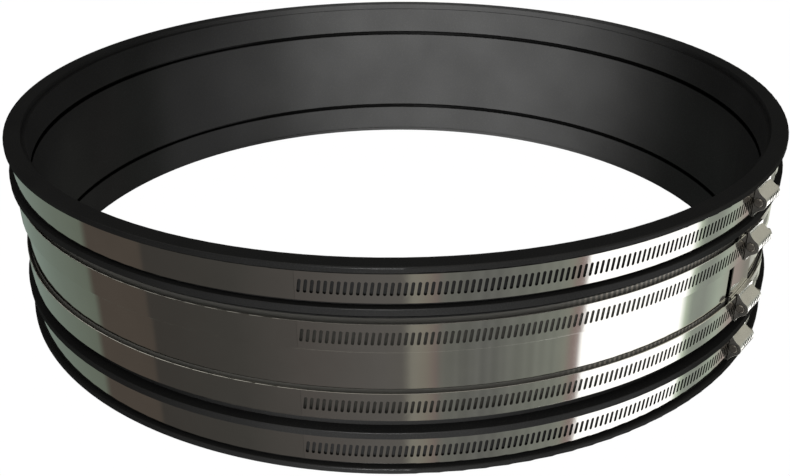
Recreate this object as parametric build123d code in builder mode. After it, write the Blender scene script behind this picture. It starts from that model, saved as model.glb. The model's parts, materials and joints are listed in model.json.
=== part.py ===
"""Large rubber adaptor coupling: a moulded sleeve, a split shear ring and four worm-drive clamps.

Origin: centre of the bore on the lower end face. +Z runs along the bore to the upper end.
Angles are in degrees about +Z, counted from +X. All lengths are in millimetres.
"""

import os
from itertools import pairwise
from math import atan, cos, degrees, pi, radians, sin

from build123d import *

# --- Sleeve ---
SLEEVE_HEIGHT = 150.0
MID_HEIGHT = SLEEVE_HEIGHT / 2
RIM_RADIUS = 316.5  # outside of the two end rims and of the two ridges
RIM_THICKNESS = 4.3
RIM_ROUNDING = 1.0
STRAP_GROOVE_RADIUS = 311.3  # floor of the two grooves for the end clamps
RIDGE_INNER_EDGE = 42.3  # ridge faces, measured from mid height
RIDGE_OUTER_EDGE = 47.4
RIDGE_ROUNDING = 0.6
RELIEF_RADIUS = 308.0  # floor of the narrow grooves between ridge and shear ring
SEAT_RADIUS = 309.7  # rubber under the shear ring
SEAT_HALF_WIDTH = 37.9
BORE_RADIUS = 301.0
LEAD_IN_RADIUS = 304.0  # wider mouth at each end of the bore
LEAD_IN_DEPTH = 4.8
SEAL_GROOVE_DEPTH = 3.0
SEAL_GROOVE_EDGES = (41.7, 44.7)  # from mid height

# --- Shear ring: one sheet, its right-hand end lapping over a joggled tongue ---
RING_THICKNESS = 0.7
RING_HALF_WIDTH = 37.5
RING_LAP_START = -40.6  # free edge of the outer end
RING_LAP_END = -34.2
RING_JOGGLE = 0.6  # angle that each joggle takes
RING_TONGUE_START = -41.0
RING_TONGUE_END = -35.0
RING_LEVEL = SEAT_RADIUS + RING_THICKNESS / 2
RING_LAP_LEVEL = RING_LEVEL + 1.0
RING_TONGUE_LEVEL = RING_LEVEL - 1.1
TONGUE_POCKET_RADIUS = 308.4  # local pocket in the rubber below the tongue
TONGUE_POCKET_OVERCUT = 1.0

# --- Straps ---
STRAP_THICKNESS = 0.7
STRAP_HALF_WIDTH = 9.9
STRAP_EDGE_ROUNDING = 0.22
STRAP_LEVEL = 312.95  # middle of the strap's thickness
STRAP_OUTSIDE = STRAP_LEVEL + STRAP_THICKNESS / 2
UNDER_LEVEL = STRAP_LEVEL - 1.0  # layer that slides or lies just below the strap
UNDER_INSIDE = UNDER_LEVEL - STRAP_THICKNESS / 2
UNDER_OUTSIDE = UNDER_LEVEL + STRAP_THICKNESS / 2
SEAM_ANGLE = -101.05  # where the plain strap's end meets the slotted strap
SEAM_GAP = 0.02
TONGUE_LENGTH = 11.0
RISER_ANGLE = 0.13  # thickness of the step between strap and tongue
TAIL_ANGLE = -26.0
TAIL_ROUNDING = 4.0
PLAIN_JOGGLE_ANGLE = -13.5
PLAIN_JOGGLE = 0.6
PLAIN_END_ANGLE = -31.6
SADDLE_START = -42.0
EAR_START = -40.3
EAR_END = -33.9
EAR_HALF_WIDTH = 11.4
END_CLAMP_OFFSET = 59.05  # strap centres, from mid height
RING_CLAMP_OFFSET = 24.95
CLAMP_OFFSETS = (END_CLAMP_OFFSET, RING_CLAMP_OFFSET, -RING_CLAMP_OFFSET, -END_CLAMP_OFFSET)

# --- Slots and worm ---
SLOTS_PER_TURN = 500  # slot pitches in a full circle
SLOT_PITCH = 360 / SLOTS_PER_TURN
SLOT_COUNT = 101
FIRST_SLOT = -100.53
SLOT_LENGTH = 9.1
SLOT_WIDTH = 2.05
SLOT_CUT_START = STRAP_OUTSIDE + 1.0
SLOT_CUT_DEPTH = 2.0
HOUSING_SLOT = 86  # the slot at which the screw runs parallel to the strap, at rest
HOUSING_ANGLE = FIRST_SLOT + HOUSING_SLOT * SLOT_PITCH
SCREW_RADIUS_FROM_AXIS = 317.0
THREAD_LEAD = radians(SLOT_PITCH) * STRAP_LEVEL
THREAD_START = THREAD_LEAD / 2  # faces away from the strap here, towards it half a turn later
THREAD_TURNS = 4
THREAD_ROOT = 3.1
THREAD_CREST = 4.3
THREAD_HEIGHT = THREAD_CREST - THREAD_ROOT
THREAD_ROOT_WIDTH = 1.5
THREAD_CREST_WIDTH = 0.9
THREAD_SINK = 0.6  # how far the thread's profile is buried in the core
SLOT_SLANT = degrees(atan(THREAD_LEAD / (2 * pi * THREAD_CREST)))
JOURNAL_RADIUS = 3.08
HEAD_ACROSS_FLATS = 7.0
HEAD_CORNER_RADIUS = HEAD_ACROSS_FLATS / 2 / cos(radians(30))
HEAD_LENGTH = 4.6
HEAD_GAP = 0.3
HEAD_CHAMFER = 0.7
HEAD_CHAMFER_WIDTH = 1.1
HEAD_SLOT_WIDTH = 1.1
HEAD_SLOT_DEPTH = 1.4
TIP_PROUD = 0.7
TIP_CHAMFER = 0.5

# --- Housing, in its own frame: X outwards from the screw's axis, Z along the screw ---
STRAP_FACE = STRAP_OUTSIDE - SCREW_RADIUS_FROM_AXIS
PLATE_START = -0.8
PLATE_THICKNESS = 1.4
PLATE_ROUNDING = 0.3
TUNNEL_START = PLATE_START + PLATE_THICKNESS
TUNNEL_END = 25.2
TUNNEL_NOSE = 5.4  # radius of the tunnel's rounded outer side
FLANK_ANGLE = 55.0  # the way the tunnel's flat flanks face, from straight outwards
REAR_WALL = 1.5
CAVITY_RADIUS = 4.6
BEARING_RADIUS = 3.15
RECESS_RADIUS = 3.5  # shallow ring-shaped recess round the screw's tip
RECESS_DEPTH = 0.6
FLANGE_BOTTOM = STRAP_FACE + 0.3
FLANGE_THICKNESS = 0.9
LEG_INNER = 10.2
LEG_OUTER = 11.2
LEG_BOTTOM = -7.0  # trimmed to the saddle's outside
LEG_SEAT_RADIUS = UNDER_OUTSIDE + 0.03
BELL_NOSE = 5.7
BELL_TANGENT_ANGLE = 60.0
BELL_FLARE = (0.35, -1)
SHOULDER = STRAP_FACE + 1.2
MARK_COUNT = 6
MARK_PITCH = 2.9
MARK_MIDDLE = 14.6
MARK_WIDTH = 1.35
MARK_LENGTH = 6.0
MARK_SLANT = 18.0
MARK_DEPTH = 0.4
MARK_REACH = 3.0


def polar(radius, angle, height=0.0):
    """A point at an angle in degrees about the bore's axis."""
    return Vector(radius * cos(radians(angle)), radius * sin(radians(angle)), height)


def radial_plane(radius, angle):
    """A plane that faces outwards: X along the strap towards larger angles, Y up."""
    return Plane(origin=polar(radius, angle), x_dir=polar(1, angle + 90), z_dir=polar(1, angle))


def screw_plane():
    """The housing's frame, in the clamp's mid plane: X outwards, Z along the screw."""
    origin = polar(SCREW_RADIUS_FROM_AXIS, HOUSING_ANGLE)
    return Plane(origin=origin, x_dir=polar(1, HOUSING_ANGLE), z_dir=polar(1, HOUSING_ANGLE + 90))


def sheet_outline(segments, thickness):
    """Outline, seen from above, of a sheet bent to arcs at several levels, with joggles between.

    Each segment is (radius of the sheet's middle, start angle, end angle).
    """
    with BuildLine() as outline:
        for side in (thickness / 2, -thickness / 2):
            arcs = [CenterArc((0, 0), level + side, start, end - start) for level, start, end in segments]
            for arc, following in pairwise(arcs):
                Line(arc @ 1, following @ 0)
        for level, angle in ((segments[0][0], segments[0][1]), (segments[-1][0], segments[-1][2])):
            Line(polar(level + thickness / 2, angle), polar(level - thickness / 2, angle))
    return outline.line


def bent_sheet(segments, thickness, half_width):
    """A sheet bent to the given arcs, standing half_width above and below the XY plane."""
    outline = sheet_outline(segments, thickness)
    with BuildPart() as sheet:
        with BuildSketch(Plane.XY):
            with BuildLine():
                add(outline)
            make_face()
        extrude(amount=half_width, both=True)
    return sheet


def outer_edges(strap):
    """The long edges of a strap's outside face."""
    return strap.edges().filter_by(
        lambda edge: edge.geom_type == GeomType.CIRCLE and abs(edge.radius - STRAP_OUTSIDE) < 0.01
    )


def sleeve_profile():
    """Half section of the sleeve, with its height counted from mid height, upper half first."""
    inner_edge, outer_edge = SEAL_GROOVE_EDGES
    upper = [
        (SEAT_RADIUS, SEAT_HALF_WIDTH),
        (RELIEF_RADIUS, SEAT_HALF_WIDTH),
        (RELIEF_RADIUS, RIDGE_INNER_EDGE),
        (RIM_RADIUS, RIDGE_INNER_EDGE),
        (RIM_RADIUS, RIDGE_OUTER_EDGE),
        (STRAP_GROOVE_RADIUS, RIDGE_OUTER_EDGE),
        (STRAP_GROOVE_RADIUS, MID_HEIGHT - RIM_THICKNESS),
        (RIM_RADIUS, MID_HEIGHT - RIM_THICKNESS),
        (RIM_RADIUS, MID_HEIGHT),
        (LEAD_IN_RADIUS, MID_HEIGHT),
        (LEAD_IN_RADIUS, MID_HEIGHT - LEAD_IN_DEPTH),
        (BORE_RADIUS, MID_HEIGHT - LEAD_IN_DEPTH),
        (BORE_RADIUS, outer_edge),
        (BORE_RADIUS + SEAL_GROOVE_DEPTH, outer_edge),
        (BORE_RADIUS + SEAL_GROOVE_DEPTH, inner_edge),
        (BORE_RADIUS, inner_edge),
    ]
    lower = [(radius, -height) for radius, height in reversed(upper)]
    return upper + lower


def tongue_pocket():
    """Room in the rubber for the shear ring's inner end."""
    start = RING_TONGUE_START - 2 * RING_JOGGLE
    thickness = SEAT_RADIUS - TONGUE_POCKET_RADIUS + TONGUE_POCKET_OVERCUT
    level = TONGUE_POCKET_RADIUS + thickness / 2
    return bent_sheet([(level, start, RING_TONGUE_END + RING_JOGGLE)], thickness, SEAT_HALF_WIDTH)


def build_sleeve():
    pocket = tongue_pocket()
    with BuildPart() as sleeve:
        with BuildSketch(Plane.XZ):
            with BuildLine():
                Polyline(*sleeve_profile(), close=True)
            make_face()
        revolve(axis=Axis.Z)
        crests = sleeve.edges().filter_by(
            lambda edge: edge.geom_type == GeomType.CIRCLE and abs(edge.radius - RIM_RADIUS) < 0.01
        )
        rim_edges = [edge for edge in crests if abs(edge.center().Z) > RIDGE_OUTER_EDGE + RIM_ROUNDING]
        ridge_edges = [edge for edge in crests if abs(edge.center().Z) < RIDGE_OUTER_EDGE + RIM_ROUNDING]
        fillet(rim_edges, RIM_ROUNDING)
        fillet(ridge_edges, RIDGE_ROUNDING)
        add(pocket.part, mode=Mode.SUBTRACT)
    return sleeve


def build_shear_ring():
    tongue_turn = RING_TONGUE_START + 360
    segments = [
        (RING_LAP_LEVEL, RING_LAP_START, RING_LAP_END),
        (RING_LEVEL, RING_LAP_END + RING_JOGGLE, tongue_turn - RING_JOGGLE),
        (RING_TONGUE_LEVEL, tongue_turn, RING_TONGUE_END + 360),
    ]
    return bent_sheet(segments, RING_THICKNESS, RING_HALF_WIDTH)


def build_plain_strap():
    segments = [
        (UNDER_LEVEL, PLAIN_END_ANGLE, PLAIN_JOGGLE_ANGLE),
        (STRAP_LEVEL, PLAIN_JOGGLE_ANGLE + PLAIN_JOGGLE, SEAM_ANGLE + 360),
    ]
    sheet = bent_sheet(segments, STRAP_THICKNESS, STRAP_HALF_WIDTH)
    with BuildPart() as strap:
        add(sheet.part)
        fillet(outer_edges(strap), STRAP_EDGE_ROUNDING)
    return strap


def build_slotted_strap():
    start = SEAM_ANGLE + SEAM_GAP
    riser_level = (STRAP_OUTSIDE + UNDER_INSIDE) / 2
    band = bent_sheet([(STRAP_LEVEL, start, TAIL_ANGLE)], STRAP_THICKNESS, STRAP_HALF_WIDTH)
    riser = bent_sheet(
        [(riser_level, start, start + RISER_ANGLE)], STRAP_OUTSIDE - UNDER_INSIDE, STRAP_HALF_WIDTH
    )
    tongue = bent_sheet(
        [(UNDER_LEVEL, start - TONGUE_LENGTH, start + RISER_ANGLE)], STRAP_THICKNESS, STRAP_HALF_WIDTH
    )
    tail = polar(STRAP_LEVEL, TAIL_ANGLE)
    slot_planes = [
        radial_plane(SLOT_CUT_START, FIRST_SLOT + number * SLOT_PITCH) for number in range(SLOT_COUNT)
    ]
    with BuildPart() as strap:
        add(band.part)
        add(riser.part)
        add(tongue.part)
        corners = strap.edges().filter_by(
            lambda edge: abs(edge.length - STRAP_THICKNESS) < 0.01
            and (edge.center() - tail).length < STRAP_HALF_WIDTH + STRAP_THICKNESS
        )
        fillet(corners, TAIL_ROUNDING)
        fillet(outer_edges(strap), STRAP_EDGE_ROUNDING)
        with BuildSketch(*slot_planes):
            SlotOverall(SLOT_LENGTH, SLOT_WIDTH, rotation=90 - SLOT_SLANT)
        extrude(amount=-SLOT_CUT_DEPTH, mode=Mode.SUBTRACT)
    return strap


def build_saddle():
    """The sheet under the housing: its ears stand out past the strap's edges."""
    base = bent_sheet(
        [(UNDER_LEVEL, SADDLE_START, PLAIN_END_ANGLE)], STRAP_THICKNESS, STRAP_HALF_WIDTH
    )
    ears = bent_sheet([(UNDER_LEVEL, EAR_START, EAR_END)], STRAP_THICKNESS, EAR_HALF_WIDTH)
    with BuildPart() as saddle:
        add(base.part)
        add(ears.part)
    return saddle


def bell_outline():
    """The end plate's outline: feet at the strap's edges, flaring in to a round nose."""
    turn = radians(BELL_TANGENT_ANGLE)
    touch = Vector(BELL_NOSE * cos(turn), BELL_NOSE * sin(turn))
    with BuildLine() as outline:
        flare = Spline((SHOULDER, LEG_OUTER), touch, tangents=(BELL_FLARE, (sin(turn), -cos(turn))))
        mirror(flare, about=Plane.XZ)
        ThreePointArc(touch, (BELL_NOSE, 0), (touch.X, -touch.Y))
        for side in (1, -1):
            Polyline(
                (SHOULDER, side * LEG_OUTER),
                (LEG_BOTTOM, side * LEG_OUTER),
                (LEG_BOTTOM, side * LEG_INNER),
                (FLANGE_BOTTOM, side * LEG_INNER),
            )
        Line((FLANGE_BOTTOM, LEG_INNER), (FLANGE_BOTTOM, -LEG_INNER))
    return outline.line


def tunnel_outline():
    """The tunnel's outline: flat flanks that lean in to a nose round the screw's axis."""
    turn = radians(FLANK_ANGLE)
    touch = Vector(TUNNEL_NOSE * cos(turn), TUNNEL_NOSE * sin(turn))
    foot = touch.Y + (touch.X - FLANGE_BOTTOM) * cos(turn) / sin(turn)
    with BuildLine() as outline:
        ThreePointArc(touch, (TUNNEL_NOSE, 0), (touch.X, -touch.Y))
        for side in (1, -1):
            Line((touch.X, side * touch.Y), (FLANGE_BOTTOM, side * foot))
        Line((FLANGE_BOTTOM, foot), (FLANGE_BOTTOM, -foot))
    return outline.line


def build_marks():
    """Shallow slanted grooves along the tunnel's nose."""
    face = Plane(origin=(TUNNEL_NOSE + 1, 0, MARK_MIDDLE), x_dir=(0, 1, 0), z_dir=(1, 0, 0))
    with BuildPart() as marks:
        with BuildSketch(face):
            with GridLocations(1, MARK_PITCH, 1, MARK_COUNT):
                SlotOverall(MARK_LENGTH, MARK_WIDTH, rotation=MARK_SLANT)
        extrude(amount=-MARK_REACH)
        Cylinder(TUNNEL_NOSE - MARK_DEPTH, 2 * TUNNEL_END, mode=Mode.SUBTRACT)
    return marks


def build_housing():
    bell = bell_outline()
    tunnel = tunnel_outline()
    marks = build_marks()
    tunnel_length = TUNNEL_END - TUNNEL_START
    from_start = (Align.CENTER, Align.CENTER, Align.MIN)
    with BuildPart() as housing:
        with BuildSketch(Plane.XY.offset(PLATE_START)):
            with BuildLine():
                add(bell)
            make_face()
        extrude(amount=PLATE_THICKNESS)
        front = housing.faces().group_by(Axis.Z)[0]
        fillet(front.edges().filter_by(lambda edge: edge.center().X > SHOULDER), PLATE_ROUNDING)
        with BuildSketch(Plane.XY.offset(TUNNEL_START)):
            with BuildLine():
                add(tunnel)
            make_face()
            with Locations((FLANGE_BOTTOM + FLANGE_THICKNESS / 2, 0)):
                Rectangle(FLANGE_THICKNESS, 2 * LEG_OUTER)
            for side in (1, -1):
                with Locations(((LEG_BOTTOM + FLANGE_BOTTOM) / 2, side * (LEG_INNER + LEG_OUTER) / 2)):
                    Rectangle(FLANGE_BOTTOM - LEG_BOTTOM, LEG_OUTER - LEG_INNER)
        extrude(amount=tunnel_length)
        with BuildSketch(Plane.XY.offset(TUNNEL_START)):
            Circle(CAVITY_RADIUS)
            with Locations((LEG_BOTTOM / 2, 0)):
                Rectangle(-LEG_BOTTOM, 2 * CAVITY_RADIUS)
        extrude(amount=tunnel_length - REAR_WALL, mode=Mode.SUBTRACT)
        with Locations((0, 0, PLATE_START)):
            Cylinder(BEARING_RADIUS, TUNNEL_END - PLATE_START, align=from_start, mode=Mode.SUBTRACT)
            Cylinder(RECESS_RADIUS, RECESS_DEPTH, align=from_start, mode=Mode.SUBTRACT)
        with Locations(Location((-SCREW_RADIUS_FROM_AXIS, 0, 0), (90, 0, 0))):
            Cylinder(LEG_SEAT_RADIUS, 4 * LEG_OUTER, mode=Mode.SUBTRACT)
        add(marks.part, mode=Mode.SUBTRACT)
    return housing


def build_core():
    """The screw's threaded core with its journals."""
    tip = PLATE_START - TIP_PROUD
    journal_length = TUNNEL_END + HEAD_GAP - tip
    core_start = TUNNEL_START + HEAD_GAP
    core_length = TUNNEL_END - REAR_WALL - HEAD_GAP - core_start
    from_start = (Align.CENTER, Align.CENTER, Align.MIN)
    with BuildLine() as thread_path:
        Helix(THREAD_LEAD, THREAD_TURNS * THREAD_LEAD, THREAD_ROOT, center=(0, 0, THREAD_START))
    profile = Plane(origin=thread_path.line @ 0, x_dir=(1, 0, 0), z_dir=thread_path.line % 0)
    with BuildPart() as core:
        with BuildSketch(profile):
            with BuildLine():
                Polyline(
                    (-THREAD_SINK, -THREAD_ROOT_WIDTH / 2),
                    (0, -THREAD_ROOT_WIDTH / 2),
                    (THREAD_HEIGHT, -THREAD_CREST_WIDTH / 2),
                    (THREAD_HEIGHT, THREAD_CREST_WIDTH / 2),
                    (0, THREAD_ROOT_WIDTH / 2),
                    (-THREAD_SINK, THREAD_ROOT_WIDTH / 2),
                    close=True,
                )
            make_face()
        sweep(path=thread_path.line, is_frenet=True)
        with Locations((0, 0, core_start)):
            Cylinder(THREAD_ROOT, core_length, align=from_start)
        with Locations((0, 0, tip)):
            Cylinder(JOURNAL_RADIUS, journal_length, align=from_start)
        chamfer(core.edges().group_by(Axis.Z)[0], TIP_CHAMFER)
    return core


def build_head():
    """The slotted hexagon head with its corners turned down."""
    start = TUNNEL_END + HEAD_GAP
    end = start + HEAD_LENGTH
    with BuildPart() as head:
        with BuildSketch(Plane.XY.offset(start)):
            RegularPolygon(HEAD_ACROSS_FLATS / 2, 6, major_radius=False)
        extrude(amount=HEAD_LENGTH)
        with BuildSketch(Plane.XZ):
            with BuildLine():
                Polyline(
                    (0, start),
                    (HEAD_CORNER_RADIUS, start),
                    (HEAD_CORNER_RADIUS, end - HEAD_CHAMFER),
                    (HEAD_CORNER_RADIUS - HEAD_CHAMFER_WIDTH, end),
                    (0, end),
                    close=True,
                )
            make_face()
        revolve(axis=Axis.Z, mode=Mode.INTERSECT)
        with Locations((0, 0, end)):
            Box(HEAD_SLOT_WIDTH, 2 * HEAD_ACROSS_FLATS, 2 * HEAD_SLOT_DEPTH, mode=Mode.SUBTRACT)
    return head


def build_screw():
    core = build_core()
    head = build_head()
    with BuildPart() as screw:
        add(core.part)
        add(head.part)
    return screw


def write_piece(shape, name, location):
    """Put one finished piece in its place and write it."""
    with BuildPart() as piece:
        with Locations(location):
            add(shape)
    piece.part.label = name
    export_step(piece.part, f"parts/{name}.step")


def main():
    os.makedirs("parts", exist_ok=True)
    middle = Location((0, 0, MID_HEIGHT))
    write_piece(build_sleeve().part, "rubber_sleeve", middle)
    write_piece(build_shear_ring().part, "shear_ring", middle)
    clamp_pieces = {
        "plain_strap": build_plain_strap().part,
        "slotted_strap": build_slotted_strap().part,
        "saddle": build_saddle().part,
    }
    screw_pieces = {
        "housing": build_housing().part,
        "screw": build_screw().part,
    }
    for number, offset in enumerate(CLAMP_OFFSETS, start=1):
        height = Location((0, 0, MID_HEIGHT + offset))
        for piece, shape in clamp_pieces.items():
            write_piece(shape, f"clamp_{number}_{piece}", height)
        for piece, shape in screw_pieces.items():
            write_piece(shape, f"clamp_{number}_{piece}", height * screw_plane().location)


main()
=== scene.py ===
import json
import math

import bpy
from mathutils import Matrix, Vector


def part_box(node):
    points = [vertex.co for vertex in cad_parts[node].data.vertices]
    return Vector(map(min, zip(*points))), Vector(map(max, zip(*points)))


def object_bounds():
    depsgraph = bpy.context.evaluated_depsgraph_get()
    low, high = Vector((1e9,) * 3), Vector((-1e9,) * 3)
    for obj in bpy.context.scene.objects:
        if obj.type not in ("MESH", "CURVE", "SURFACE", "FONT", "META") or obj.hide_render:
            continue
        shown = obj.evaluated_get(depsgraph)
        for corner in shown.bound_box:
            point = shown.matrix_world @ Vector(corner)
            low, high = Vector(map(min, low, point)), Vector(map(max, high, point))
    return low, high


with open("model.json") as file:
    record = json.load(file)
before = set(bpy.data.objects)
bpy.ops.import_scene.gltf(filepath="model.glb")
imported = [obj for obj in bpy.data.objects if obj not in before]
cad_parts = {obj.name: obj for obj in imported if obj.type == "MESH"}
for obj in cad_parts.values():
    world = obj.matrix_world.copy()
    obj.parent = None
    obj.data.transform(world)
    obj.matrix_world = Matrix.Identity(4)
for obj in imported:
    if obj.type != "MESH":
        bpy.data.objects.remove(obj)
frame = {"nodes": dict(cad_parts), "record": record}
CAD_LOW, CAD_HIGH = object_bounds()

# ---- the coupling, in metres and degrees ----
MOUNTS = {mount["name"]: mount for mount in frame["record"]["mounts"]}
CENTRE = (CAD_LOW + CAD_HIGH) / 2
RIM_RADIUS = (CAD_HIGH.x - CAD_LOW.x) / 2
BORE_RADIUS = MOUNTS["pipe_bore"]["dims"]["r_mm"] / 1000
SEAL_GROOVE_MIDDLE = 0.0432      # the grooves in the bore, from mid height
SEAL_GROOVE_HALF = 0.0020
SEAL_GROOVE_DEPTH = 0.0034
MARK_FLOOR = 0.0050              # the marks' floor, from the screw's axis
MARK_DEPTH = 0.00034
MARK_START = 0.0045              # the marks begin beyond this, along the screw from its joint
SHADE_ABOVE = 0.0014               # how far the band of painted shade reaches above clamp 3's strap
SHADE_ABOVE_UPPER = 0.0040         # above clamp 2's it reaches the ring's edge
SLOTS_PER_TURN = 500
SLOT_HALF_LENGTH = 0.0047
TICKS_FROM = -100.53             # compass angle of the first slot
TICKS_MIDDLE = -57.5             # the painted slot reflections on the shaded bands lie round this angle
TICKS_HALF = 11.0
TICKS_FADE = 3.0
TICKS_BELOW = 0.0013             # how far below a strap's edge the ticks start
SOFT_EDGE = 0.0002               # half the width of a blurred border between two finishes

# ---- camera ----
CAMERA_DISTANCE = 2.796 * RIM_RADIUS
CAMERA_ELEVATION = 23.0          # the line from the coupling's middle up to the camera
CAMERA_AIM_UP = -3.82            # the aim lies a little off that middle
CAMERA_AIM_SIDE = 0.07
CAMERA_ROLL = -0.41
CAMERA_LENS = 45.38              # mm
CAMERA_SENSOR = 36.0             # mm
CAMERA_CLIP = (0.01, 200.0)

# ---- finishes: the share of red, green and blue light that each sends back ----
STEEL = (0.62, 0.61, 0.58)
# painted shade for the ring where straps 2 and 3 lie on it
STEEL_GAP_SHADE = (0.23, 0.225, 0.205)
# painted reflection of light through the strap slots, on the ring
STEEL_SLOT_REFLECTION = (0.60, 0.56, 0.49)
STEEL_HOUSING = (0.50, 0.49, 0.46)
STEEL_SCREW = (0.44, 0.41, 0.37)
# painted shade for the walls of the strap slots
SLOT_WALL_SHADE = (0.03, 0.03, 0.03)
MARK_DARK_COLOUR = (0.02, 0.02, 0.02)
RUBBER = (0.0175, 0.0175, 0.0173)
RUBBER_PALER = (0.0215, 0.0215, 0.0212)
# painted shade for the rubber in and at the bore's seal grooves
RUBBER_GROOVE_SHADE = (0.0012, 0.0012, 0.0012)
RUBBER_GLOSS = 0.009             # share of the light that the rubber's skin mirrors
FLOOR_COLOUR = (0.01, 0.01, 0.01)
WHITE = (1.0, 1.0, 1.0)

# ---- studio ----
FLOOR_HALF_SIZE = 30.0
FLOOR_GAP = 0.0005               # the floor lies this far below the coupling
SOFTBOX = 1.07                   # brightness of the white softbox, as bright steel shows it
SOFT_FILL = (0.40, 0.40, 0.40)   # grey that matt surfaces are lit by all round
FLUTE_DEPTH = 0.16               # unevenness of the wall left of the softbox
FLUTES_PER_TURN = 110.0
FLUTE_SPAN = [(-79, 0), (-76, 1), (-43, 1), (-40, 0)]
UPPER_RISE = (2.0, 14.0)         # heights between which the walls change to the upper tones
CAP_RISE = (36, 50)              # and those to the tone straight above
PIT_FALL = (-72, -58)            # and the one straight below
STUDIO_ENDS = (205, 200, 188)    # straight above and straight below
# Display colours that bright steel shows of the studio's walls, by compass angle from +X, in degrees.
STUDIO_WALLS = [
    (-167.5, (71, 64, 57)),
    (-166, (56, 53, 49)),
    (-137, (60, 58, 54)),
    (-126, (68, 65, 61)),
    (-116, (75, 71, 67)),
    (-95, (84, 81, 77)),
    (-88, (86, 83, 78)),
    (-85.5, (121, 118, 107)),
    (-81, (116, 110, 99)),
    (-79, (110, 98, 92)),
    (-77, (96, 96, 89)),
    (-64, (94, 94, 89)),
    (-54, (105, 106, 98)),
    (-42, (116, 118, 108)),
    (-39, (124, 124, 112)),
    (-37, (126, 108, 102)),
    (-35.2, (140, 128, 122)),
    (-34.3, (255, 255, 255)),
    (3.3, (255, 255, 255)),
    (5, (181, 192, 169)),
    (8, (132, 138, 126)),
    (14, (127, 131, 121)),
    (22, (150, 158, 142)),
    (31, (146, 133, 125)),
    (40, (116, 113, 103)),
    (48, (150, 150, 139)),
    (56, (178, 178, 162)),
    (66, (120, 124, 112)),
    (112, (90, 96, 86)),
    (124, (107, 118, 108)),
    (169, (93, 99, 87)),
    (171, (71, 64, 57)),
]
# The same above the walls.
STUDIO_UPPER = [
    (-180, (45, 44, 40)),
    (-120, (45, 44, 40)),
    (-30, (60, 59, 53)),
    (0, (185, 182, 165)),
    (42, (185, 182, 165)),
    (56, (60, 59, 53)),
    (180, (45, 44, 40)),
]


# ---- node helpers ----
def feed(tree, socket, value):
    """Link an input to an output, or set it to a number, a vector or a colour tuple."""
    if isinstance(value, bpy.types.NodeSocket):
        tree.links.new(value, socket)
    elif isinstance(value, tuple):
        socket.default_value = (*value, 1.0)
    else:
        socket.default_value = value


def math_node(tree, operation, *values):
    node = tree.nodes.new("ShaderNodeMath")
    node.operation = operation
    for socket, value in zip(node.inputs, values):
        feed(tree, socket, value)
    return node.outputs[0]


def vector_math(tree, operation, *values):
    node = tree.nodes.new("ShaderNodeVectorMath")
    node.operation = operation
    for socket, value in zip(node.inputs, values):
        feed(tree, socket, value)
    return node.outputs["Value" if operation in ("LENGTH", "DOT_PRODUCT") else "Vector"]


def distance_between(tree, a, b):
    """How far the number a is from the number b."""
    return math_node(tree, "ABSOLUTE", math_node(tree, "SUBTRACT", a, b))


def both(tree, a, b):
    """A mask that is on where the masks a and b are."""
    return math_node(tree, "MULTIPLY", a, b)


def compass_angle(tree, place):
    return math_node(tree, "ARCTAN2", place.outputs["Y"], place.outputs["X"])


def separated(tree, vector):
    node = tree.nodes.new("ShaderNodeSeparateXYZ")
    feed(tree, node.inputs[0], vector)
    return node


def combined(tree, **parts):
    node = tree.nodes.new("ShaderNodeCombineXYZ")
    for axis, value in parts.items():
        feed(tree, node.inputs[axis], value)
    return node.outputs[0]


def ramp(tree, factor, stops):
    """Colours or greys by position, where each stop is (position, colour or grey)."""
    node = tree.nodes.new("ShaderNodeValToRGB")
    elements = node.color_ramp.elements
    while len(elements) > 1:
        elements.remove(elements[-1])
    for i, (position, colour) in enumerate(stops):
        if isinstance(colour, (int, float)):
            colour = (colour, colour, colour)
        element = elements[0] if i == 0 else elements.new(position)
        element.position = position
        element.color = (*colour, 1.0)
    feed(tree, node.inputs["Fac"], factor)
    return node.outputs["Color"]


def noise(tree, vector, scale, detail=2.0, roughness=0.5):
    node = tree.nodes.new("ShaderNodeTexNoise")
    node.inputs["Scale"].default_value = scale
    node.inputs["Detail"].default_value = detail
    node.inputs["Roughness"].default_value = roughness
    feed(tree, node.inputs["Vector"], vector)
    return node.outputs["Fac"]


def spread(tree, factor, low, high, from_low=0.3, from_high=0.7):
    """factor, remapped so that from_low..from_high gives low..high."""
    node = tree.nodes.new("ShaderNodeMapRange")
    node.inputs["From Min"].default_value = from_low
    node.inputs["From Max"].default_value = from_high
    node.inputs["To Min"].default_value = low
    node.inputs["To Max"].default_value = high
    feed(tree, node.inputs["Value"], factor)
    return node.outputs["Result"]


def mixed(tree, factor, first, second):
    """Two colours, each a tuple or an output, mixed by factor."""
    node = tree.nodes.new("ShaderNodeMix")
    node.data_type = "RGBA"
    feed(tree, node.inputs["Factor"], factor)
    feed(tree, node.inputs["A"], first)
    feed(tree, node.inputs["B"], second)
    return node.outputs["Result"]


def mixed_shader(tree, factor, first, second):
    node = tree.nodes.new("ShaderNodeMixShader")
    feed(tree, node.inputs["Fac"], factor)
    feed(tree, node.inputs[1], first)
    feed(tree, node.inputs[2], second)
    return node.outputs[0]


def bump(tree, height, strength, distance):
    node = tree.nodes.new("ShaderNodeBump")
    node.inputs["Strength"].default_value = strength
    node.inputs["Distance"].default_value = distance
    feed(tree, node.inputs["Height"], height)
    return node.outputs["Normal"]


def texture_coordinate(tree, name):
    return tree.nodes.new("ShaderNodeTexCoord").outputs[name]


def object_point(tree):
    return texture_coordinate(tree, "Object")


def rolled_point(tree, along, across):
    """The surface point unrolled round the bore: angle times radius, and height, each scaled."""
    place = separated(tree, object_point(tree))
    around_bore = math_node(tree, "MULTIPLY", compass_angle(tree, place), RIM_RADIUS * along)
    up = math_node(tree, "MULTIPLY", place.outputs["Z"], across)
    return combined(tree, X=around_bore, Y=up)


def new_material(name):
    material = bpy.data.materials.new(name)
    material.use_nodes = True
    tree = material.node_tree
    return material, tree, tree.nodes["Principled BSDF"]


def principled(material):
    return material.node_tree, material.node_tree.nodes["Principled BSDF"]


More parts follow.
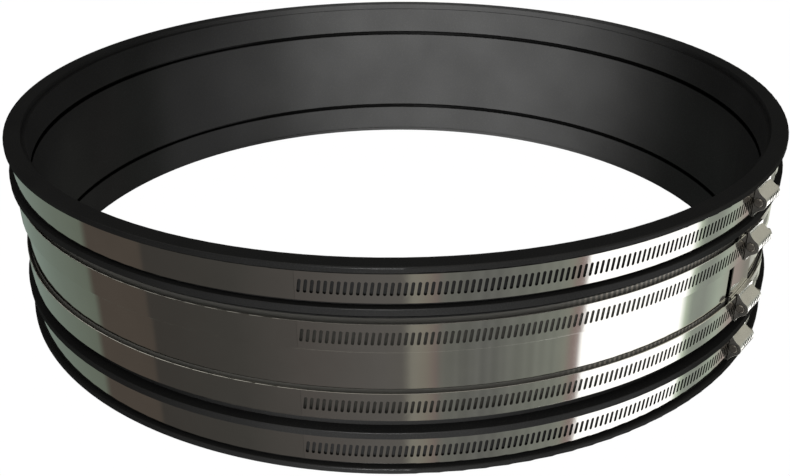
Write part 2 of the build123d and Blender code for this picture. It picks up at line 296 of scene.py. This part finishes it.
def paint_over(tree, shader, mask, colour):
    """Give the shader another colour where the mask is on."""
    under = shader.inputs["Base Color"].links[0].from_socket
    feed(tree, shader.inputs["Base Color"], mixed(tree, mask, under, colour))


# ---- materials ----
def rubber():
    """Moulded EPDM: near black, satin, with a fine grain, and painted shade in and at the bore's two
    grooves.
    """
    material, tree, shader = new_material("epdm_rubber")
    point = object_point(tree)
    patches = noise(tree, point, scale=18.0, detail=3.0)
    grain = noise(tree, point, scale=900.0, detail=3.0, roughness=0.6)
    colour = mixed(tree, spread(tree, patches, 0.0, 1.0), RUBBER, RUBBER_PALER)
    feed(tree, shader.inputs["Base Color"], colour)
    shader.inputs["Roughness"].default_value = 0.6
    shader.inputs["Specular IOR Level"].default_value = 0.0
    relief = bump(tree, grain, strength=0.15, distance=0.00005)
    feed(tree, shader.inputs["Normal"], relief)

    # Painted shade: the rubber is made darker in and at the bore's two seal grooves.
    place = separated(tree, point)
    radius = vector_math(tree, "LENGTH", combined(tree, X=place.outputs["X"], Y=place.outputs["Y"]))
    inner = math_node(tree, "LESS_THAN", radius, BORE_RADIUS + SEAL_GROOVE_DEPTH)
    from_middle = distance_between(tree, place.outputs["Z"], CENTRE.z)
    from_groove = distance_between(tree, from_middle, SEAL_GROOVE_MIDDLE)
    near = spread(tree, from_groove, 1.0, 0.0, SEAL_GROOVE_HALF, SEAL_GROOVE_HALF + 2 * SOFT_EDGE)
    paint_over(tree, shader, both(tree, inner, near), RUBBER_GROOVE_SHADE)

    gloss = tree.nodes.new("ShaderNodeBsdfGlossy")
    feed(tree, gloss.inputs["Color"], WHITE)
    feed(tree, gloss.inputs["Roughness"], spread(tree, grain, 0.22, 0.3))
    feed(tree, gloss.inputs["Normal"], relief)
    skin = mixed_shader(tree, RUBBER_GLOSS, shader.outputs[0], gloss.outputs[0])
    feed(tree, tree.nodes["Material Output"].inputs["Surface"], skin)
    return material


def sheet_steel(name, rough_low=0.04, rough_high=0.07):
    """Bright rolled stainless sheet: fine lines along the rolling direction, which runs round the bore."""
    material, tree, shader = new_material(name)
    lines = noise(tree, rolled_point(tree, along=12.0, across=2400.0), scale=1.0, detail=3.0, roughness=0.6)
    cloud = noise(tree, object_point(tree), scale=45.0)
    shade = tuple(0.95 * share for share in STEEL)
    feed(tree, shader.inputs["Base Color"], mixed(tree, spread(tree, cloud, 0.0, 1.0), shade, STEEL))
    shader.inputs["Metallic"].default_value = 1.0
    feed(tree, shader.inputs["Roughness"], spread(tree, lines, rough_low, rough_high))
    feed(tree, shader.inputs["Normal"], bump(tree, lines, strength=0.02, distance=0.00002))
    return material


def pressed_steel(name, colour, rough_low, rough_high, metal):
    """Stainless pressed or turned to shape: satin, with small handling marks."""
    material, tree, shader = new_material(name)
    point = object_point(tree)
    marks = noise(tree, point, scale=260.0)
    cloud = noise(tree, point, scale=90.0)
    shade = tuple(0.9 * share for share in colour)
    feed(tree, shader.inputs["Base Color"], mixed(tree, spread(tree, cloud, 0.0, 1.0), shade, colour))
    shader.inputs["Metallic"].default_value = metal
    feed(tree, shader.inputs["Roughness"], spread(tree, marks, rough_low, rough_high))
    return material


def shaded_band(tree, place, strap, reach):
    """Two masks on the ring: the band of painted shade under and just above a strap, and the part of it
    round the strap's upper edge.
    """
    low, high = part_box(strap)
    up = place.outputs["Z"]
    half = (high.z - low.z + reach) / 2
    away = distance_between(tree, up, (low.z + high.z + reach) / 2)
    band = spread(tree, away, 1.0, 0.0, half - SOFT_EDGE, half + SOFT_EDGE)
    upper = both(tree, band, math_node(tree, "GREATER_THAN", up, high.z - TICKS_BELOW))
    return band, upper


def painted_slot_ticks(tree, place):
    """A mask for a painted reflection of light through the slots: one tick to each slot pitch, on the part
    of the turn where they show.
    """
    angle = compass_angle(tree, place)
    turned = math_node(tree, "SUBTRACT", angle, math.radians(TICKS_FROM))
    wave = math_node(tree, "COSINE", math_node(tree, "MULTIPLY", turned, SLOTS_PER_TURN))
    inside, outside = (math.radians(TICKS_HALF + side * TICKS_FADE) for side in (-1, 1))
    from_middle = distance_between(tree, angle, math.radians(TICKS_MIDDLE))
    shown = spread(tree, from_middle, 1.0, 0.0, inside, outside)
    return both(tree, spread(tree, wave, 0.0, 1.0, -0.2, 0.6), shown)


def ring_steel():
    """The shear ring: bright sheet, but dull and grey where straps 2 and 3 lie on it, as painted shade for
    the gap under and just above each strap.

    Round each strap's upper edge the dull band has light ticks, a painted reflection of light through the
    slots.
    """
    material = sheet_steel("ring_steel")
    tree, shader = principled(material)
    place = separated(tree, object_point(tree))
    # Painted shade: the ring is made dull dark grey under straps 2 and 3 and just above them.
    band_2, upper_2 = shaded_band(tree, place, "clamp_2_plain_strap", SHADE_ABOVE_UPPER)
    band_3, upper_3 = shaded_band(tree, place, "clamp_3_plain_strap", SHADE_ABOVE)
    gap_shade = math_node(tree, "ADD", band_2, band_3)
    # Painted reflection: light ticks at the slot pitch round each strap's upper edge.
    slot_reflection = both(tree, painted_slot_ticks(tree, place), math_node(tree, "ADD", upper_2, upper_3))
    paint_over(tree, shader, gap_shade, mixed(tree, slot_reflection, STEEL_GAP_SHADE, STEEL_SLOT_REFLECTION))
    feed(tree, shader.inputs["Metallic"], spread(tree, gap_shade, 1.0, 0.25, 0.0, 1.0))
    smooth = shader.inputs["Roughness"].links[0].from_socket
    duller = math_node(tree, "MULTIPLY", gap_shade, 0.45)
    feed(tree, shader.inputs["Roughness"], math_node(tree, "ADD", smooth, duller))
    return material


def slotted_steel(name, strap):
    """Strap sheet with painted shade on the walls of its punched slots."""
    material = sheet_steel(name)
    tree, shader = principled(material)
    low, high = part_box(strap)
    place = separated(tree, object_point(tree))
    # Painted shade: the walls of the punched slots are made near black.
    outward = vector_math(tree, "NORMALIZE", combined(tree, X=place.outputs["X"], Y=place.outputs["Y"]))
    facing = vector_math(tree, "DOT_PRODUCT", texture_coordinate(tree, "Normal"), outward)
    side = math_node(tree, "LESS_THAN", math_node(tree, "ABSOLUTE", facing), 0.5)
    from_middle = distance_between(tree, place.outputs["Z"], (low.z + high.z) / 2)
    wall = both(tree, side, math_node(tree, "LESS_THAN", from_middle, SLOT_HALF_LENGTH))
    paint_over(tree, shader, wall, SLOT_WALL_SHADE)
    return material


def housing_steel(name, joint):
    """Satin pressed steel, made dark down in the floors of the marks on the tunnel's nose."""
    material = pressed_steel(name, STEEL_HOUSING, rough_low=0.20, rough_high=0.26, metal=0.72)
    tree, shader = principled(material)
    axis = Vector(joint["axis"]).normalized()
    offset = vector_math(tree, "SUBTRACT", object_point(tree), Vector(joint["pos_m"]))
    radius = vector_math(tree, "LENGTH", vector_math(tree, "CROSS_PRODUCT", offset, axis))
    along = vector_math(tree, "DOT_PRODUCT", offset, axis)
    below_skin = math_node(tree, "LESS_THAN", radius, MARK_FLOOR + MARK_DEPTH)
    above_cavity = math_node(tree, "GREATER_THAN", radius, MARK_FLOOR - SOFT_EDGE)
    beyond_plate = math_node(tree, "LESS_THAN", along, -MARK_START)
    mark = both(tree, both(tree, below_skin, above_cavity), beyond_plate)
    paint_over(tree, shader, mark, MARK_DARK_COLOUR)
    return material


def paint_nodes():
    """Give every CAD node the finish of its kind."""
    shared = {
        "rubber_sleeve": rubber(),
        "shear_ring": ring_steel(),
        "plain_strap": sheet_steel("strap_steel"),
        "saddle": sheet_steel("saddle_steel", rough_low=0.06, rough_high=0.10),
        "screw": pressed_steel("screw_steel", STEEL_SCREW, rough_low=0.25, rough_high=0.32, metal=0.75),
    }
    joints = {joint["name"]: joint for joint in frame["record"]["behaviour"]["joints"]}
    for name, node in frame["nodes"].items():
        if name.endswith("_slotted_strap"):
            finish = slotted_steel(f"{name}_steel", name)
        elif name.endswith("_housing"):
            finish = housing_steel(f"{name}_steel", joints[name.replace("_housing", "_screw_turn")])
        else:
            finish = next(material for kind, material in shared.items() if name.endswith(kind))
        for material_slot in node.material_slots:
            material_slot.material = finish


# ---- studio ----
def linear(colour):
    """A display colour, each channel 0 to 255, as linear light."""
    shares = (channel / 255 for channel in colour)
    return [s / 12.92 if s <= 0.04045 else ((s + 0.055) / 1.055) ** 2.4 for s in shares]


def shown_by_steel(colour):
    """The studio's own colour, as a share of its brightest, where bright steel shows the given one."""
    if min(colour) == 255:
        return WHITE
    return tuple(c * min(STEEL) / s / SOFTBOX for c, s in zip(linear(colour), STEEL))


def turn_share(angle):
    """A compass angle in degrees, as a share of the turn from -180."""
    return (angle + 180) / 360


def wall_ramp(tree, turn, stops):
    return ramp(tree, turn, [(turn_share(angle), shown_by_steel(colour)) for angle, colour in stops])


def background(tree, colour, strength):
    node = tree.nodes.new("ShaderNodeBackground")
    feed(tree, node.inputs["Color"], colour)
    feed(tree, node.inputs["Strength"], strength)
    return node.outputs[0]


def between(tree, height, limits, low, high):
    """A number that goes from low to high as the height passes the limits, which are in degrees."""
    return spread(tree, height, low, high, *(math.radians(limit) for limit in limits))


def flutes(tree, turn):
    """Uneven brightness of one stretch of wall, as a factor near 1."""
    across = combined(tree, X=math_node(tree, "MULTIPLY", turn, FLUTES_PER_TURN))
    uneven = noise(tree, across, scale=1.0, detail=1.0)
    span = ramp(tree, turn, [(turn_share(angle), grey) for angle, grey in FLUTE_SPAN])
    return math_node(tree, "ADD", both(tree, spread(tree, uneven, -FLUTE_DEPTH, FLUTE_DEPTH), span), 1.0)


def studio_world():
    """The camera sees white, matt surfaces get an even fill, and bright ones mirror the studio's walls."""
    world = bpy.data.worlds.new("studio")
    bpy.context.scene.world = world
    world.use_nodes = True
    tree = world.node_tree
    tree.nodes.clear()
    direction = separated(tree, texture_coordinate(tree, "Generated"))
    turn = math_node(tree, "DIVIDE", compass_angle(tree, direction), 2 * math.pi)
    turn = math_node(tree, "ADD", turn, 0.5)
    height = math_node(tree, "ARCSINE", direction.outputs["Z"])
    rise = between(tree, height, UPPER_RISE, 0.0, 1.0)
    walls = mixed(tree, rise, wall_ramp(tree, turn, STUDIO_WALLS), wall_ramp(tree, turn, STUDIO_UPPER))
    cap = between(tree, height, CAP_RISE, 0.0, 1.0)
    pit = between(tree, height, PIT_FALL, 1.0, 0.0)
    colour = mixed(tree, math_node(tree, "ADD", cap, pit), walls, shown_by_steel(STUDIO_ENDS))
    strength = math_node(tree, "MULTIPLY", flutes(tree, turn), SOFTBOX / min(STEEL))
    rays = tree.nodes.new("ShaderNodeLightPath")
    studio = background(tree, colour, strength)
    lit = mixed_shader(tree, rays.outputs["Is Diffuse Ray"], studio, background(tree, SOFT_FILL, 1.0))
    seen = mixed_shader(tree, rays.outputs["Is Camera Ray"], lit, background(tree, WHITE, 1.0))
    output = tree.nodes.new("ShaderNodeOutputWorld")
    feed(tree, output.inputs["Surface"], seen)


def studio_floor():
    """A plain pale floor, lit evenly, so that it meets the white backdrop."""
    mesh = bpy.data.meshes.new("floor")
    s = FLOOR_HALF_SIZE
    z = CAD_LOW.z - FLOOR_GAP
    mesh.from_pydata([(-s, -s, z), (s, -s, z), (s, s, z), (-s, s, z)], [], [(0, 1, 2, 3)])
    floor = bpy.data.objects.new("floor", mesh)
    bpy.context.scene.collection.objects.link(floor)
    material, tree, shader = new_material("pale_floor")
    feed(tree, shader.inputs["Base Color"], FLOOR_COLOUR)
    feed(tree, shader.inputs["Emission Color"], WHITE)
    shader.inputs["Emission Strength"].default_value = 1.0
    shader.inputs["Roughness"].default_value = 1.0
    shader.inputs["Specular IOR Level"].default_value = 0.0
    mesh.materials.append(material)
    floor.visible_glossy = False
    floor.visible_diffuse = False
    floor.visible_shadow = False


def around(azimuth, elevation, distance):
    """A point seen from the coupling's middle along a compass angle and a height above the horizon."""
    a, e = math.radians(azimuth), math.radians(elevation)
    away = Vector((math.cos(a) * math.cos(e), math.sin(a) * math.cos(e), math.sin(e)))
    return CENTRE + away * distance


def place_lamp(data, place, target, lit_nodes):
    """Put a lamp in the scene, aimed at the target, so that it lights some nodes only."""
    lamp = bpy.data.objects.new(data.name, data)
    bpy.context.scene.collection.objects.link(lamp)
    lamp.location = place
    lamp.rotation_mode = "QUATERNION"
    lamp.rotation_quaternion = (target - place).to_track_quat("-Z", "Y")
    receivers = bpy.data.collections.new(f"{data.name}_lit")
    for node_name in lit_nodes:
        receivers.objects.link(frame["nodes"][node_name])
    lamp.light_linking.receiver_collection = receivers


def soft_spot(name, place, target, cone, radius, power):
    """A spot with a soft edge that falls on the rubber."""
    data = bpy.data.lights.new(name, "SPOT")
    data.spot_size = math.radians(cone)
    data.spot_blend = 1.0
    data.shadow_soft_size = radius
    data.energy = power
    place_lamp(data, place, target, ["rubber_sleeve"])


def strip_light(name, place, target, size, power):
    """A small rectangular light that falls on the housings."""
    data = bpy.data.lights.new(name, "AREA")
    data.shape = "RECTANGLE"
    data.size, data.size_y = size
    data.energy = power
    place_lamp(data, place, target, [node for node in frame["nodes"] if node.endswith("_housing")])


def studio_lights():
    soft_spot(
        "bore_spot", around(-105, 33, 0.9), around(78, 0, RIM_RADIUS), cone=27, radius=0.06, power=270
    )
    soft_spot(
        "front_spot", around(-94, 0, 0.82), around(-93, -4, RIM_RADIUS), cone=31, radius=0.12, power=24
    )
    strip_light(
        "housing_strip", around(10, -16, 0.75), around(-38, 0, RIM_RADIUS), size=(0.25, 0.30), power=0.8
    )


def place_camera():
    e = math.radians(CAMERA_ELEVATION)
    back = Vector((0, -math.cos(e), math.sin(e)))
    data = bpy.data.cameras.new("camera")
    data.lens = CAMERA_LENS
    data.sensor_width = CAMERA_SENSOR
    data.clip_start, data.clip_end = CAMERA_CLIP
    camera = bpy.data.objects.new("camera", data)
    bpy.context.scene.collection.objects.link(camera)
    aim = (-back).to_track_quat("-Z", "Y").to_matrix()
    for angle, axis in ((CAMERA_AIM_SIDE, "Y"), (CAMERA_AIM_UP, "X"), (CAMERA_ROLL, "Z")):
        aim = aim @ Matrix.Rotation(math.radians(angle), 3, axis)
    camera.matrix_world = Matrix.Translation(CENTRE + back * CAMERA_DISTANCE) @ aim.to_4x4()
    bpy.context.scene.camera = camera


paint_nodes()
studio_world()
studio_floor()
studio_lights()
place_camera()
bpy.context.scene.view_settings.view_transform = "Standard"

bpy.context.view_layer.update()
